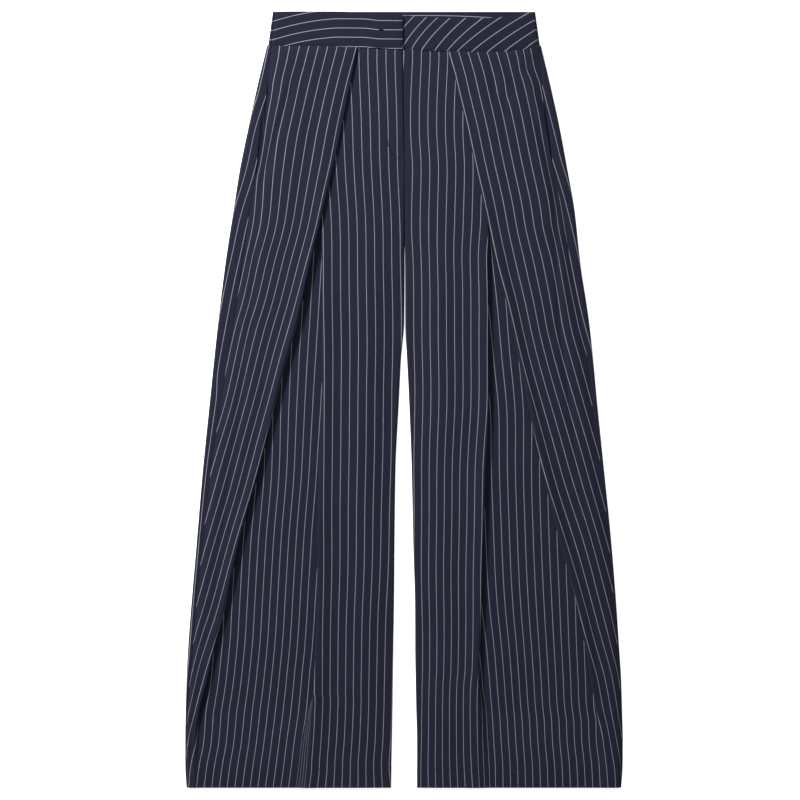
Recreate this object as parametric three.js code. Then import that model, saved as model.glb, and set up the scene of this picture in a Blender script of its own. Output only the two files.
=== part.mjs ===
// Wide-leg harem trousers, laid flat on their back panels, front up.
// Millimetres, +Z up. The waist points along +Y, and +X is the wearer's left.
// Lengths down the garment are called drops, measured from the top of the waistband.
// Widths are measured out from the centre line, on the leg's own side.
import * as THREE from 'three';

// Driving dimensions
const GARMENT_LENGTH = 1038.9;
const CLOTH = 1;
const BAND_CLOTH = 2.4;
const SEAM_GAP = 0.3;
const FACING_DEPTH = 1.5;
const FACING_WIDTH_IN = 9;
const FACING_WIDTH_OUT = 6;
const FACING_TOP = 84;
const FACING_END = 232;
const SLIT_TOP = 96;
const SLIT_END = 222;
const FLY_END = 200;
const BAND_LEVEL = 6.9;
const UNDERLAP_LEVEL = 5.4;
const OVERLAP_LEVEL = 8.4;
const OPEN_FOLD_SHARE = 0.8;
const ROLL_WIDTH = 14;
const CREASE_WIDTH = 22;
const EDGE_RADIUS = 2.2;
const EDGE_TAIL = 0.4;
const HIDDEN_DROP = 2;
const FLAP_SHARES = [0, 0.1, 0.21, 0.33, 0.45, 0.56, 0.67, 0.78, 0.9];
const INNER_SHARES = [0.08, 0.18, 0.31, 0.45, 0.6, 0.74, 0.88];

// Colours of the solids
const NAVY = 0x262b40;
const NAVY_DARK = 0x1b1f30;

// A table's rows, with each value under its column's name.
function table(columns, rows) {
  return rows.map((row) => Object.fromEntries(columns.map((column, i) => [column, row[i]])));
}

// Where the folds lie, a row for each measured drop.
// side: outline. seam: side seam. bend: soft crease beside the seam. fold: edge of the big flap.
// hide: far end of the cloth tucked under the flap. crease: edge of the inner panel.
// tuck: far end of the cloth tucked under the inner panel. inner: centre front, then inside leg.
const FOLD_COLUMNS = ['drop', 'side', 'seam', 'bend', 'fold', 'hide', 'crease', 'tuck', 'inner'];
const RIGHT_LEG = table(FOLD_COLUMNS, [
  [45.6, 183.5, 177.5, 139.5, 62, 158, 128.5, 61.5, 1.5],
  [104.5, 197.5, 183.5, 153, 73, 163.5, 124.5, 65.5, 1.1],
  [158, 209, 192.5, 167.5, 83.5, 170, 120.5, 67, 0.1],
  [212, 220, 198, 185, 95.5, 179.5, 115, 67, -0.6],
  [266.5, 228.5, 206.5, 192.5, 108, 191, 110.5, 67.5, -0.8],
  [335, 239, 216.5, 200.5, 124, 203.5, 110.5, 71.5, -0.8],
  [415.5, 249, 228.5, 205.5, 142, 211, 110, 76.5, -0.3],
  [466.5, 254.5, 236.5, 209.5, 157, 216.5, 110, 79, 4],
  [520, 260, 244.5, 215.5, 171, 222, 110, 80.5, 6.7],
  [613.5, 269.5, 258.5, 231, 193.5, 232, 114, 87.5, 11.3],
  [707.5, 277.5, 269, 244, 219, 246, 116, 92, 12.6],
  [801.5, 285.5, 278.5, 259.5, 240, 258.5, 116.5, 95.5, 13.4],
  [848, 289, 282.5, 268, 252.5, 264.5, 118.5, 101, 14.2],
  [895, 291.5, 287, 276, 262.5, 269.5, 120.5, 112, 14.9],
  [935, 292.5, 290, 281.5, 273, 275, 123.5, 127, 15.4],
  [975.5, 293.2, 291.5, 286.5, 279, 275, 126, 136, 16.1],
  [1009, 293.2, 291.5, 286.5, 280.5, 274.5, 128, 140, 16.8],
  [1038.9, 291.5, 290, 285, 280, 273.5, 130, 144, 17.3],
]);
const LEFT_LEG = table(FOLD_COLUMNS, [
  [45.6, 183.5, 179, 148.5, 59.3, 147.5, 119.5, 57.5, -1.1],
  [104.5, 197.5, 185.5, 162, 71.5, 157.5, 116.5, 60.5, -0.7],
  [158, 209, 193, 175.5, 85, 168, 116, 64.5, 0.3],
  [212, 219, 200.5, 189, 96, 178, 114.5, 68.5, 1],
  [266.5, 228.5, 211.5, 198.5, 108, 186, 113.5, 73.5, 1.2],
  [335, 236, 222.5, 203, 124, 203, 113, 76.5, 1.2],
  [415.5, 248, 236, 207.5, 142.5, 212, 113, 80.5, 1.6],
  [466.5, 253.5, 245.5, 213, 153, 217, 113.5, 84.5, 4],
  [520, 258.5, 251, 219, 164.5, 223, 114, 88, 6.7],
  [613.5, 268, 264, 232, 184.5, 231.5, 110, 88.5, 10.2],
  [707.5, 277.5, 274, 246.5, 207.5, 240, 106.5, 89, 12.1],
  [801.5, 285, 282, 262.5, 233, 252, 103.5, 89.5, 14.7],
  [848, 288, 285.5, 269.5, 241.5, 254.5, 101.5, 90.5, 14.7],
  [895, 291, 289, 276, 250, 256.5, 100.5, 99, 15.5],
  [935, 292.2, 290.5, 280, 257, 260.5, 100, 111, 16.3],
  [975.5, 293.2, 292, 284, 265.5, 261.5, 98, 115, 17.4],
  [1009, 293, 291.2, 285.5, 268, 262.5, 96.5, 118, 17.4],
  [1038.9, 291, 289, 284, 269.5, 262.5, 96.5, 119.5, 17.4],
]);

// How high the middle of the cloth lies at each of those places, for both legs.
// roll: top of the flap's rounded edge. mid: the layer hidden below the flap. under: the lowest
// layer. crease: the inner panel's edge. body: the inner panel. edge and end: the inside of the
// leg, and where it comes down to on the back panel.
const LEVEL_COLUMNS = [
  'drop', 'seam', 'flap', 'roll', 'mid', 'under', 'crease', 'body', 'edge', 'end',
];
const LEVELS = table(LEVEL_COLUMNS, [
  [45.6, 8, 9.2, 9.7, 7.6, 2.1, 6, 6.2, 6.2, 6.05],
  [158, 8, 9.2, 9.9, 7.6, 2.1, 6, 6.3, 6, 5.85],
  [212, 7.8, 9.2, 10.4, 7.6, 2.1, 6, 6.3, 5.7, 5.2],
  [266.5, 7.4, 9, 11, 7.6, 2.1, 6.2, 6.3, 5.3, 3.8],
  [335, 6.8, 8.2, 11.2, 6.4, 2.1, 7.6, 6.6, 5, 2.6],
  [415.5, 6.2, 7.4, 10.8, 5.4, 2.1, 8.6, 6.8, 4.8, 1.6],
  [520, 5.8, 7.2, 10.4, 5, 2.1, 8.8, 7, 4.8, 1.6],
  [707.5, 5.4, 6.8, 10, 4.8, 2.1, 8.8, 7, 4.8, 1.6],
  [848, 5, 6.6, 9.2, 4.6, 2.1, 8.8, 6.9, 4.8, 1.6],
  [895, 4.8, 6.4, 8.4, 4.4, 2.1, 8.8, 6.9, 4.8, 1.6],
  [935, 4.4, 6.2, 7.6, 4.4, 2.2, 8.6, 6.8, 4.9, 1.6],
  [975.5, 3.9, 5.8, 6.8, 5, 3.8, 8.2, 6.7, 5, 1.6],
  [1009, 3.4, 5.5, 6.5, 5.8, 5.1, 8.2, 6.6, 5.1, 1.6],
  [1038.9, 3.4, 5.4, 6.4, 5.8, 5.1, 8.2, 6.6, 5.1, 1.6],
]);

// The waistbands: lower and upper edge, in drops, at places out from the centre line.
// The left one starts with its underlap, on the other side of the centre line.
const RIGHT_BAND = [
  { low_x: 2.1, high_x: 2.1, low: 50.6, high: 4.4, level: OVERLAP_LEVEL },
  { low_x: 20, high_x: 20, low: 49.8, high: 3.2, level: OVERLAP_LEVEL },
  { low_x: 34, high_x: 34, low: 49, high: 2.4, level: OVERLAP_LEVEL },
  { low_x: 60, high_x: 60, low: 47.8, high: 1.2, level: BAND_LEVEL },
  { low_x: 96.5, high_x: 96.5, low: 46.7, high: 0.2, level: BAND_LEVEL },
  { low_x: 139, high_x: 138, low: 46.3, high: 0.1, level: BAND_LEVEL },
  { low_x: 165, high_x: 162, low: 46.3, high: 0.3, level: BAND_LEVEL },
  { low_x: 177.5, high_x: 173, low: 46.3, high: 0.6, level: BAND_LEVEL },
];
const LEFT_BAND = [
  { low_x: -30.8, high_x: -30.8, low: 48, high: 5.4, level: UNDERLAP_LEVEL },
  { low_x: -12, high_x: -12, low: 48.6, high: 5.4, level: UNDERLAP_LEVEL },
  { low_x: 4, high_x: 4, low: 50, high: 5.5, level: UNDERLAP_LEVEL },
  { low_x: 29.5, high_x: 29.5, low: 52.4, high: 7.6, level: BAND_LEVEL },
  { low_x: 63, high_x: 63, low: 53.6, high: 9.1, level: BAND_LEVEL },
  { low_x: 103, high_x: 103, low: 54.9, high: 9.1, level: BAND_LEVEL },
  { low_x: 135, high_x: 134, low: 53.7, high: 7.4, level: BAND_LEVEL },
  { low_x: 161.5, high_x: 158.5, low: 50.4, high: 3.4, level: BAND_LEVEL },
  { low_x: 179, high_x: 173.5, low: 47.6, high: 0.6, level: BAND_LEVEL },
];
const BACK_BAND = { low: 45.4, high: 0, side_low: 182, side_high: 175.6 };

// Drops at which the leg panels have a section
const LEG_ROWS = [
  85, 140, 190, 235, 275, 315, 360, 400, 440, 480, 550, 630, 707, 775, 830, 870, 905, 935, 957,
  980, 1009, 1038.9,
];

function mix(a, b, share) {
  return a + (b - a) * share;
}

function clamp01(value) {
  return Math.min(1, Math.max(0, value));
}

// A value between the rows of a table, on a smooth curve that never overshoots the rows.
function readTable(table, key, column, at) {
  const last = table.length - 1;
  const place = Math.min(Math.max(at, table[0][key]), table[last][key]);
  let i = 0;
  while (i < last - 1 && table[i + 1][key] < place) {
    i += 1;
  }
  const slope = (k) => (table[k + 1][column] - table[k][column]) / (table[k + 1][key] - table[k][key]);
  const tangent = (k) => {
    if (k === 0) {
      return slope(0);
    }
    if (k === last) {
      return slope(last - 1);
    }
    const before = slope(k - 1);
    const after = slope(k);
    return before * after <= 0 ? 0 : (2 * before * after) / (before + after);
  };
  const width = table[i + 1][key] - table[i][key];
  const t = (place - table[i][key]) / width;
  const t2 = t * t;
  const t3 = t2 * t;
  return (2 * t3 - 3 * t2 + 1) * table[i][column] + (t3 - 2 * t2 + t) * width * tangent(i)
    + (3 * t2 - 2 * t3) * table[i + 1][column] + (t3 - t2) * width * tangent(i + 1);
}

function smoothStep(value) {
  const t = clamp01(value);
  return t * t * (3 - 2 * t);
}

// Points on an arc about a centre, from one angle to another.
function arc(x, z, radius, from, to, steps) {
  return Array.from({ length: steps + 1 }, (unused, k) => {
    const angle = mix(from, to, k / steps);
    return [x + radius * Math.cos(angle), z + radius * Math.sin(angle)];
  });
}

// Points between two places at the given shares of the way, with a level for each share.
function stretch(from, to, shares, level) {
  return shares.map((share) => [mix(from, to, share), level(share)]);
}

// A fold of two bends, met while going towards the centre line and left going the same way.
// levels: before, between and after the bends. back: how far the cloth runs back between them;
// where it is negative, the fold has opened into a slope.
function foldPoints(x, levels, back, steps) {
  const [before, between, after] = levels;
  const height = Math.abs(after - before);
  const way = Math.sign(after - before);
  const widest = (back * back + height * height) / (2 * height);
  const radii = back < 0 ? Math.max(height / 2, OPEN_FOLD_SHARE * widest) : height / 2;
  const first = (radii * Math.abs(between - before)) / height;
  const second = radii - first;
  const run = Math.sqrt(Math.max(0, back * back + (height - radii) ** 2 - radii * radii));
  const turn = Math.PI + Math.atan2(radii, run) - Math.atan2(height - radii, back);
  const angle = turn % (2 * Math.PI);
  const one = Array.from({ length: steps[0] + 1 }, (unused, k) => {
    const at = (angle * k) / steps[0];
    return [x - first * Math.sin(at), before + way * first * (1 - Math.cos(at))];
  });
  const [endX, endZ] = one[steps[0]];
  const nextX = endX - run * Math.cos(angle);
  const nextZ = endZ + way * run * Math.sin(angle);
  const lastX = nextX - second * Math.sin(angle);
  const two = Array.from({ length: steps[1] + 1 }, (unused, k) => {
    const at = angle * (1 - k / steps[1]);
    return [lastX + second * Math.sin(at), after - way * second * (1 - Math.cos(at))];
  });
  const between2 = [(endX + nextX) / 2, (endZ + nextZ) / 2];
  return { points: [...one, between2, ...two], endX: lastX };
}

// The section across one front panel, from the side seam to the inside of the leg.
function frontSection(leg, drop) {
  const w = (column) => readTable(leg.table, 'drop', column, drop);
  const z = (column) => readTable(LEVELS, 'drop', column, drop);
  const half = CLOTH / 2;
  const slit = clamp01((drop - SLIT_TOP) / (SLIT_END - SLIT_TOP));
  const start = w('seam') - SEAM_GAP / 2 - leg.slit_gape * Math.sin(Math.PI * slit) ** 0.8;
  const rollX = w('fold') + half + (z('roll') - z('mid')) / 2;
  const hideX = w('hide') - (z('mid') - z('under')) / 2;
  const flapFold = foldPoints(rollX, [z('roll'), z('mid'), z('under')], hideX - rollX, [6, 4]);
  const tuckLevel = mix(z('under'), z('crease'), 0.5);
  const tuckX = w('tuck') + (tuckLevel - z('under')) / 2;
  const creaseX = w('crease') - half - (z('crease') - tuckLevel) / 2;
  const tuckLevels = [z('under'), tuckLevel, z('crease')];
  const tuckFold = foldPoints(tuckX, tuckLevels, creaseX - tuckX, [4, 5]);
  const rollWidth = Math.min(ROLL_WIDTH / (start - rollX), 0.45);
  const flapLevel = (t) => mix(z('seam'), z('flap'), smoothStep(t / 0.2))
    + (z('roll') - z('flap')) * smoothStep((t - 1 + rollWidth) / rollWidth);
  const edge = z('edge') + leg.fly_lap * clamp01((FLY_END - drop) / 30);
  const fall = Math.max(edge - z('end') - EDGE_TAIL, 0.1);
  const edgeAngle = Math.acos(1 - Math.min(1, fall / EDGE_RADIUS));
  const tail = Math.max(0, fall - EDGE_RADIUS) + EDGE_TAIL;
  const endX = w('inner') + half;
  const edgeX = endX + EDGE_RADIUS * Math.sin(edgeAngle) + tail * Math.cos(edgeAngle);
  const arcEnd = edge - EDGE_RADIUS * (1 - Math.cos(edgeAngle));
  const innerWidth = tuckFold.endX - edgeX;
  const innerLevel = (t) => mix(
    mix(z('crease'), z('body'), smoothStep((t * innerWidth) / CREASE_WIDTH)),
    edge,
    smoothStep((t - 0.55) / 0.45),
  );
  return [
    ...stretch(start, rollX, FLAP_SHARES, flapLevel),
    ...flapFold.points,
    ...stretch(flapFold.endX, tuckX, [0.35, 0.7], () => z('under')),
    ...tuckFold.points,
    ...stretch(tuckFold.endX, edgeX, INNER_SHARES, innerLevel),
    ...arc(edgeX, edge - EDGE_RADIUS, EDGE_RADIUS, Math.PI / 2, Math.PI / 2 + edgeAngle, 3),
    [endX, arcEnd - tail * Math.sin(edgeAngle)],
  ];
}

// The section across one back panel, from the inside of the leg round to the side seam.
function backSection(leg, drop) {
  const w = (column) => readTable(leg.table, 'drop', column, drop);
  const base = CLOTH / 2;
  const radius = (readTable(LEVELS, 'drop', 'seam', drop) - base) / 2;
  const centre = w('side') - base - radius;
  const end = w('seam') + SEAM_GAP / 2;
  const cut = end > centre ? Math.acos((end - centre) / radius) : Math.PI / 2;
  const last = end > centre ? radius + base + radius * Math.sin(cut) : base + 2 * radius;
  return [
    ...stretch(w('inner'), centre, [0, 0.25, 0.5, 0.75, 0.93], () => base),
    ...arc(centre, base + radius, radius, -Math.PI / 2, cut - (end > centre ? 0.15 : 0), 7),
    [end, last],
  ];
}

// A closed cloth wall on a grid of points of its middle surface, each row a section across.
function clothWall(grid, thickness) {
  const rows = grid.length;
  const columns = grid[0].length;
  const positions = [];
  for (const facing of [1, -1]) {
    for (let r = 0; r < rows; r += 1) {
      for (let c = 0; c < columns; c += 1) {
        const across = grid[r][Math.min(c + 1, columns - 1)].clone().sub(grid[r][Math.max(c - 1, 0)]);
        const normal = new THREE.Vector3(-across.z, 0, across.x).normalize();
        const point = grid[r][c].clone().addScaledVector(normal, (facing * thickness) / 2);
        positions.push(point.x, point.y, point.z);
      }
    }
  }
  const near = (r, c) => r * columns + c;
  const far = (r, c) => rows * columns + r * columns + c;
  const faces = [];
  const quad = (a, b, c, d) => faces.push(a, b, c, a, c, d);
  for (let r = 0; r < rows - 1; r += 1) {
    for (let c = 0; c < columns - 1; c += 1) {
      quad(near(r, c), near(r, c + 1), near(r + 1, c + 1), near(r + 1, c));
      quad(far(r, c), far(r + 1, c), far(r + 1, c + 1), far(r, c + 1));
    }
    quad(near(r, 0), near(r + 1, 0), far(r + 1, 0), far(r, 0));
    quad(near(r, columns - 1), far(r, columns - 1), far(r + 1, columns - 1), near(r + 1, columns - 1));
  }
  for (let c = 0; c < columns - 1; c += 1) {
    quad(near(0, c), far(0, c), far(0, c + 1), near(0, c + 1));
    quad(near(rows - 1, c), near(rows - 1, c + 1), far(rows - 1, c + 1), far(rows - 1, c));
  }
  return facesOutward(positions, faces);
}

// Turns the faces round where they enclose a negative volume.
function facesOutward(positions, faces) {
  const at = (i) => new THREE.Vector3(positions[3 * i], positions[3 * i + 1], positions[3 * i + 2]);
  let volume = 0;
  for (let i = 0; i < faces.length; i += 3) {
    volume += at(faces[i]).dot(at(faces[i + 1]).cross(at(faces[i + 2])));
  }
  if (volume < 0) {
    faces.reverse();
  }
  const geometry = new THREE.BufferGeometry();
  geometry.setAttribute('position', new THREE.Float32BufferAttribute(positions, 3));
  geometry.setIndex(faces);
  geometry.computeVertexNormals();
  return geometry;
}

// A place on the garment: on the leg's own side of the centre line, at a drop, at a level.
function place(sign, width, drop, level) {
  return new THREE.Vector3(sign * width, GARMENT_LENGTH / 2 - drop, level);
}

// The waist seam of a front: the drop of the band's lower edge at a width.
function waistSeam(band, width) {
  return readTable(band, 'low_x', 'low', width) + SEAM_GAP;
}

// The layers hidden in the folds end a little below the waist seam.
function frontLeg(leg) {
  const top = frontSection(leg, leg.table[0].drop);
  const hidden = (c) => c > FLAP_SHARES.length + 3 && c < top.length - INNER_SHARES.length - 7;
  const grid = [top.map(([width, level], c) => (
    place(leg.sign, width, waistSeam(leg.band, width) + (hidden(c) ? HIDDEN_DROP : 0), level)))];
  for (const drop of LEG_ROWS) {
    grid.push(frontSection(leg, drop).map(([width, level]) => place(leg.sign, width, drop, level)));
  }
  return clothWall(grid, CLOTH);
}

function backLeg(leg) {
  const drops = [BACK_BAND.low + SEAM_GAP, ...LEG_ROWS];
  const grid = drops.map((drop) => (
    backSection(leg, drop).map(([width, level]) => place(leg.sign, width, drop, level))));
  return clothWall(grid, CLOTH);
}

// A strip behind the pocket slit, one layer below the edges of the front and the back.
function pocketFacing(leg) {
  const drops = [0, 0.25, 0.5, 0.75, 1].map((share) => mix(FACING_TOP, FACING_END, share));
  const grid = drops.map((drop) => {
    const seam = readTable(leg.table, 'drop', 'seam', drop);
    const level = readTable(LEVELS, 'drop', 'seam', drop) - FACING_DEPTH;
    return [-FACING_WIDTH_IN, -FACING_WIDTH_IN / 2, 0, FACING_WIDTH_OUT].map(
      (offset) => place(leg.sign, seam + offset, drop, level),
    );
  });
  return clothWall(grid, CLOTH);
}

function frontBand(leg) {
  const columns = 3 * leg.band.length - 2;
  const rows = [0, 1 / 3, 2 / 3, 1];
  const grid = rows.map((share) => Array.from({ length: columns }, (unused, c) => {
    const first = leg.band[Math.floor(c / 3)];
    const second = leg.band[Math.ceil(c / 3)];
    const middle = mix(first.low_x, second.low_x, (c % 3) / 3);
    const read = (column) => readTable(leg.band, 'low_x', column, middle);
    const width = mix(read('low_x'), read('high_x'), share);
    return place(leg.sign, width, mix(read('low'), read('high'), share), read('level'));
  }));
  return clothWall(grid, BAND_CLOTH);
}

// The back waistband, which comes round both sides to meet the fronts.
function backBand() {
  const base = BAND_CLOTH / 2;
  const radius = (BAND_LEVEL - base) / 2;
  const side = (leg, share) => {
    const last = leg.band[leg.band.length - 1];
    const centre = mix(BACK_BAND.side_low, BACK_BAND.side_high, share) - base - radius;
    const end = mix(last.low_x, last.high_x, share) + 2 * SEAM_GAP;
    const cut = end > centre ? Math.acos((end - centre) / radius) : Math.PI / 2;
    return [
      [centre - 90, base], [centre - 40, base], [centre - 10, base],
      ...arc(centre, base + radius, radius, -Math.PI / 2, cut - 0.15, 7),
      [end, base + radius + radius * Math.sin(cut)],
    ].map(([width, level]) => [leg.sign * width, level]);
  };
  const grid = [0, 1 / 3, 2 / 3, 1].map((share) => {
    const drop = mix(BACK_BAND.low, BACK_BAND.high, share);
    const points = [...side(LEGS.right, share).reverse(), [0, base], ...side(LEGS.left, share)];
    return points.map(([x, level]) => place(1, x, drop, level));
  });
  return clothWall(grid, BAND_CLOTH);
}

const LEGS = {
  right: { sign: -1, table: RIGHT_LEG, band: RIGHT_BAND, slit_gape: 5.4, fly_lap: 0.9 },
  left: { sign: 1, table: LEFT_LEG, band: LEFT_BAND, slit_gape: 2.2, fly_lap: 0 },
};

function suiting(colour) {
  return new THREE.MeshStandardMaterial({ color: colour, roughness: 0.85, metalness: 0 });
}

function namedPiece(name, geometry, colour) {
  const mesh = new THREE.Mesh(geometry, suiting(colour));
  mesh.name = name;
  return mesh;
}

const trousers = new THREE.Group();
for (const [name, leg] of Object.entries(LEGS)) {
  trousers.add(namedPiece(`front_leg_${name}`, frontLeg(leg), NAVY));
  trousers.add(namedPiece(`back_leg_${name}`, backLeg(leg), NAVY));
  trousers.add(namedPiece(`waistband_front_${name}`, frontBand(leg), NAVY));
  trousers.add(namedPiece(`pocket_facing_${name}`, pocketFacing(leg), NAVY_DARK));
}
trousers.add(namedPiece('waistband_back', backBand(), NAVY));

export default trousers;
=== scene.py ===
# %% [markdown]
# # Pinstriped wide-leg trousers, laid flat
# A pair of tailored trousers lies front up on a pale surface. Each front has two deep folds
# that start in the waist seam and open towards the hem. The solids give the cloth's form.
# This lesson dresses them: thin cloth, stripes that follow each panel, seams, hems and stitches.

# %% Load the frame
import math
import bpy
import numpy as np
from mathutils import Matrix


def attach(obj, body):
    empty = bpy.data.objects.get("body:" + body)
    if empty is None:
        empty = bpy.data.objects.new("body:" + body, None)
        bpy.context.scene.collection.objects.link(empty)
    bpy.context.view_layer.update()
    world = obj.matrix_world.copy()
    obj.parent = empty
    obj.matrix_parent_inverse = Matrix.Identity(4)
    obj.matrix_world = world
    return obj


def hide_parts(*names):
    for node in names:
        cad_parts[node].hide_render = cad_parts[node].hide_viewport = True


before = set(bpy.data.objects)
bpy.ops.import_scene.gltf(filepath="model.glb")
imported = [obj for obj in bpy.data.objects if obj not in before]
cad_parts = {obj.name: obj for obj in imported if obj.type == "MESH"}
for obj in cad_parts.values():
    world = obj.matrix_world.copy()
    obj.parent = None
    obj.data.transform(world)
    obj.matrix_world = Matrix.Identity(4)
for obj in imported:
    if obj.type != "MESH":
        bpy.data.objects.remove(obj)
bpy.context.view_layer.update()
bpy.ops.object.select_all(action="DESELECT")
print("nodes:", sorted(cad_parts))

# %% [markdown]
# ## Measures
# Millimetres are easier to think in for cloth, so the tables hold millimetres and the meshes
# are scaled to metres at the end. A drop is a distance down from the top of the waistband,
# and a width is a distance out from the centre line on the leg's own side.

# %% Named sizes
MM = 0.001
LENGTH = 1038.9
CLOTH = 0.8
BAND_CLOTH = 2.2
FORM_CLOTH = 1.0
BAND_FORM_CLOTH = 2.4
SEAM_GAP = 0.3
HEM_DEPTH = 27
HEM_EXTRA = 0.5
WAIST_DROP = 45.6
FIRST_ROW = 85
HIDDEN_DROP = 2
SLIT_TOP = 96
SLIT_END = 222
FLY_END = 200
CENTRE_LAP = 0.2
CENTRE_END = 330
FADE = 30
BAND_LEVEL = 6.9
UNDERLAP_LEVEL = 5.4
OVERLAP_LEVEL = 8.4
OPEN_FOLD_SHARE = 0.8
ROLL_WIDTH = 14
CREASE_WIDTH = 22
EDGE_RADIUS = 2.2
EDGE_TAIL = 0.4
STRIPE_PITCH = 11.5
BAND_PITCH = 12.3

# %% [markdown]
# ## Where the folds lie
# Each leg has one table: the outline, the side seam, the soft bend beside it, the edge of the
# big flap, the far end of the cloth tucked under the flap, the edge of the inner panel, the far
# end of the cloth tucked under that, and the inside of the leg.

# %% Fold tables
FOLD_COLUMNS = ["drop", "side", "seam", "bend", "fold", "hide", "crease", "tuck", "inner"]
RIGHT_ROWS = [
    [45.6, 183.5, 177.5, 139.5, 62, 158, 128.5, 61.5, 1.5],
    [104.5, 197.5, 183.5, 153, 73, 163.5, 124.5, 65.5, 1.1],
    [158, 209, 192.5, 167.5, 83.5, 170, 120.5, 67, 0.1],
    [212, 220, 198, 185, 95.5, 179.5, 115, 67, -0.6],
    [266.5, 228.5, 206.5, 192.5, 108, 191, 110.5, 67.5, -0.8],
    [335, 239, 216.5, 200.5, 124, 203.5, 110.5, 71.5, -0.8],
    [415.5, 249, 228.5, 205.5, 142, 211, 110, 76.5, -0.3],
    [466.5, 254.5, 236.5, 209.5, 157, 216.5, 110, 79, 4],
    [520, 260, 244.5, 215.5, 171, 222, 110, 80.5, 6.7],
    [613.5, 269.5, 258.5, 231, 193.5, 232, 114, 87.5, 11.3],
    [707.5, 277.5, 269, 244, 219, 246, 116, 92, 12.6],
    [801.5, 285.5, 278.5, 259.5, 240, 258.5, 116.5, 95.5, 13.4],
    [848, 289, 282.5, 268, 252.5, 264.5, 118.5, 101, 14.2],
    [895, 291.5, 287, 276, 262.5, 269.5, 120.5, 112, 14.9],
    [935, 292.5, 290, 281.5, 273, 275, 123.5, 127, 15.4],
    [975.5, 293.2, 291.5, 286.5, 279, 275, 126, 136, 16.1],
    [1009, 293.2, 291.5, 286.5, 280.5, 274.5, 128, 140, 16.8],
    [1038.9, 291.5, 290, 285, 280, 273.5, 130, 144, 17.3],
]
LEFT_ROWS = [
    [45.6, 183.5, 179, 148.5, 59.3, 147.5, 119.5, 57.5, -1.1],
    [104.5, 197.5, 185.5, 162, 71.5, 157.5, 116.5, 60.5, -0.7],
    [158, 209, 193, 175.5, 85, 168, 116, 64.5, 0.3],
    [212, 219, 200.5, 189, 96, 178, 114.5, 68.5, 1],
    [266.5, 228.5, 211.5, 198.5, 108, 186, 113.5, 73.5, 1.2],
    [335, 236, 222.5, 203, 124, 203, 113, 76.5, 1.2],
    [415.5, 248, 236, 207.5, 142.5, 212, 113, 80.5, 1.6],
    [466.5, 253.5, 245.5, 213, 153, 217, 113.5, 84.5, 4],
    [520, 258.5, 251, 219, 164.5, 223, 114, 88, 6.7],
    [613.5, 268, 264, 232, 184.5, 231.5, 110, 88.5, 10.2],
    [707.5, 277.5, 274, 246.5, 207.5, 240, 106.5, 89, 12.1],
    [801.5, 285, 282, 262.5, 233, 252, 103.5, 89.5, 14.7],
    [848, 288, 285.5, 269.5, 241.5, 254.5, 101.5, 90.5, 14.7],
    [895, 291, 289, 276, 250, 256.5, 100.5, 99, 15.5],
    [935, 292.2, 290.5, 280, 257, 260.5, 100, 111, 16.3],
    [975.5, 293.2, 292, 284, 265.5, 261.5, 98, 115, 17.4],
    [1009, 293, 291.2, 285.5, 268, 262.5, 96.5, 118, 17.4],
    [1038.9, 291, 289, 284, 269.5, 262.5, 96.5, 119.5, 17.4],
]
LEVEL_COLUMNS = ["drop", "seam", "flap", "roll", "mid", "under", "crease", "body", "edge", "end"]
LEVEL_ROWS = [
    [45.6, 8, 9.2, 9.7, 7.6, 2.1, 6, 6.2, 6.2, 6.05],
    [158, 8, 9.2, 9.9, 7.6, 2.1, 6, 6.3, 6, 5.85],
    [212, 7.8, 9.2, 10.4, 7.6, 2.1, 6, 6.3, 5.7, 5.2],
    [266.5, 7.4, 9, 11, 7.6, 2.1, 6.2, 6.3, 5.3, 3.8],
    [335, 6.8, 8.2, 11.2, 6.4, 2.1, 7.6, 6.6, 5, 2.6],
    [415.5, 6.2, 7.4, 10.8, 5.4, 2.1, 8.6, 6.8, 4.8, 1.6],
    [520, 5.8, 7.2, 10.4, 5, 2.1, 8.8, 7, 4.8, 1.6],
    [707.5, 5.4, 6.8, 10, 4.8, 2.1, 8.8, 7, 4.8, 1.6],
    [848, 5, 6.6, 9.2, 4.6, 2.1, 8.8, 6.9, 4.8, 1.6],
    [895, 4.8, 6.4, 8.4, 4.4, 2.1, 8.8, 6.9, 4.8, 1.6],
    [935, 4.4, 6.2, 7.6, 4.4, 2.2, 8.6, 6.8, 4.9, 1.6],
    [975.5, 3.9, 5.8, 6.8, 5, 3.8, 8.2, 6.7, 5, 1.6],
    [1009, 3.4, 5.5, 6.5, 5.8, 5.1, 8.2, 6.6, 5.1, 1.6],
    [1038.9, 3.4, 5.4, 6.4, 5.8, 5.1, 8.2, 6.6, 5.1, 1.6],
]


def table(columns, rows):
    values = np.array(rows, float)
    return {name: values[:, i] for i, name in enumerate(columns)}


FOLDS = {"right": table(FOLD_COLUMNS, RIGHT_ROWS), "left": table(FOLD_COLUMNS, LEFT_ROWS)}
LEVELS = table(LEVEL_COLUMNS, LEVEL_ROWS)
print("fold rows:", len(RIGHT_ROWS), len(LEFT_ROWS))

# %% [markdown]
# ## Counting the stripes
# The stripes are woven in, so they tell where each bit of cloth goes. They are numbered outwards
# from the centre front. These tables say which stripe lies at the side seam, at the bend, at the
# flap's edge, and where the lower layer comes out and goes in again. first and pitch place the
# stripes of the inner panel. Between two such places the number grows evenly along the cloth.
# Where such a place lies hidden in a fold, its number is an estimate.

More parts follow.
